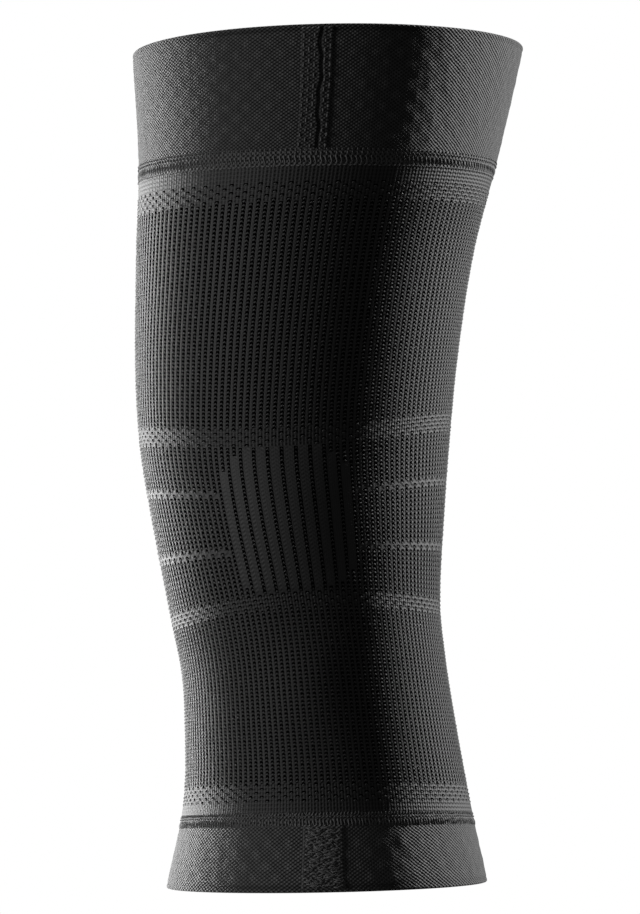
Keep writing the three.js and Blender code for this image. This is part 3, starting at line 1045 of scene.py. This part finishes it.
# ---- floor, light and camera
studio = {
    "floorHeight": -0.5,  # m, well below the sleeve
    "floorCorners": 96,
    "floorRadius": 4.0,
    "floorDark": (0.78, 0.78, 0.77, 1),
    "floorColour": (0.8, 0.8, 0.79, 1),
    "floorGlow": 0.6,
    "fill": 0.08,  # the weak even light from all round
    "white": 1.0,  # what the camera sees behind everything
    # azimuth from the front towards +X, height, distance, width, tall, aimed at, spread, watts
    "lights": [
        (122, 0.6, 1.5, 0.3, 0.9, 0.12, 60, 6.8),
        (-134, 0.0, 1.5, 0.8, 0.7, -0.1, 45, 5.4),
        (-69, 0.25, 2.2, 0.6, 0.9, 0.0, 60, 4.0),
    ],
}

eye = {
    "azimuth": 2.0,
    "elevation": -2.6,
    "distance": 2.4,
    "lens": 273.5,
    "target": (7.95 * mm, 0, 20.7 * mm),
    "reach": 50,  # m, past the edge of the floor
}


def pointAt(thing, place, target):
    thing.location = place
    aim = Vector(target) - Vector(place)
    thing.rotation_euler = aim.to_track_quat("-Z", "Y").to_euler()


deselectAll()
bpy.ops.mesh.primitive_circle_add(
    vertices=studio["floorCorners"], radius=studio["floorRadius"], fill_type="NGON",
    location=(0, 0, studio["floorHeight"]))
floor = bpy.context.object
floor.name = "floor"
floorMaterial, floorTree, floorShader = newMaterial("pale_floor", {"Roughness": 0.9})
speckle = addNode(floorTree, "ShaderNodeTexNoise",
                  Vector=addNode(floorTree, "ShaderNodeTexCoord").outputs["Object"],
                  Scale=40.0, Detail=4.0)
floorTree.links.new(
    mixColours(floorTree, speckle.outputs[0], studio["floorDark"], studio["floorColour"]),
    floorShader.inputs["Base Color"])
floorShader.inputs["Emission Color"].default_value = studio["floorColour"]
floorShader.inputs["Emission Strength"].default_value = studio["floorGlow"]
floor.data.materials.append(floorMaterial)
floor.visible_diffuse = floor.visible_glossy = False  # it lights nothing

for i, (azimuth, height, distance, width, tall, aim, spread, watts) in enumerate(studio["lights"]):
    lamp = bpy.data.lights.new("softbox_%d" % i, "AREA")
    lamp.shape = "RECTANGLE"
    lamp.size, lamp.size_y, lamp.energy = width, tall, watts
    lamp.spread = math.radians(spread)
    softbox = bpy.data.objects.new(lamp.name, lamp)
    bpy.context.collection.objects.link(softbox)
    angle = math.radians(azimuth)
    pointAt(softbox, (distance * math.sin(angle), -distance * math.cos(angle), height), (0, 0, aim))

world = bpy.data.worlds.new("studio")
bpy.context.scene.world = world
world.use_nodes = True
worldTree = world.node_tree
backdrop = worldTree.nodes["Background"]
backdrop.inputs["Strength"].default_value = studio["fill"]
backdrop.inputs["Color"].default_value = (1, 1, 1, 1)
seen = addNode(worldTree, "ShaderNodeBackground", Color=(1, 1, 1, 1), Strength=studio["white"])
ray = addNode(worldTree, "ShaderNodeLightPath")
mixer = addNode(worldTree, "ShaderNodeMixShader")
worldTree.links.new(ray.outputs["Is Camera Ray"], mixer.inputs[0])
worldTree.links.new(backdrop.outputs[0], mixer.inputs[1])
worldTree.links.new(seen.outputs[0], mixer.inputs[2])
worldTree.links.new(mixer.outputs[0], worldTree.nodes["World Output"].inputs["Surface"])

lens = bpy.data.cameras.new("camera")
lens.lens = eye["lens"]
lens.clip_end = eye["reach"]
camera = bpy.data.objects.new("camera", lens)
bpy.context.collection.objects.link(camera)
around, rise = math.radians(eye["azimuth"]), math.radians(eye["elevation"])
away = Vector((math.sin(around) * math.cos(rise), -math.cos(around) * math.cos(rise), math.sin(rise)))
pointAt(camera, Vector(eye["target"]) + eye["distance"] * away, eye["target"])
bpy.context.scene.camera = camera
bpy.context.scene.view_settings.view_transform = "Standard"
